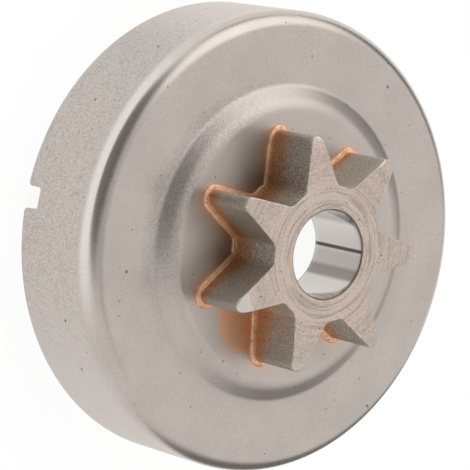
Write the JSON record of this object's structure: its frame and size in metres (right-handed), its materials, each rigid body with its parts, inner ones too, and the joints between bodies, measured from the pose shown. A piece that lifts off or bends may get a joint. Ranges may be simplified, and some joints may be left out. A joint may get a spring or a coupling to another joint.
{
  "type": "chain saw clutch drum with spur sprocket",
  "caption": "Pressed steel clutch drum with a spur sprocket brazed to its raised boss, a bearing bore through the middle and a drive notch in the open rim.",
  "frame": {"origin": "centre of the drum's open rim, in the plane of the rim", "axes": "+Z along the axis of rotation, from the open rim to the sprocket; +X through the middle of one tooth"},
  "size_m": [0.074, 0.074, 0.0302],
  "materials": {
    "pressed_steel": "satin, lightly pitted",
    "sintered_steel": "granular flanks, turned front face, polished bore",
    "copper_braze": "satin copper"
  },
  "bodies": {
    "root": {"clutch_drum": "pressed_steel", "spur_sprocket": "sintered_steel", "braze_seam": "copper_braze"}
  },
  "joints": []
}
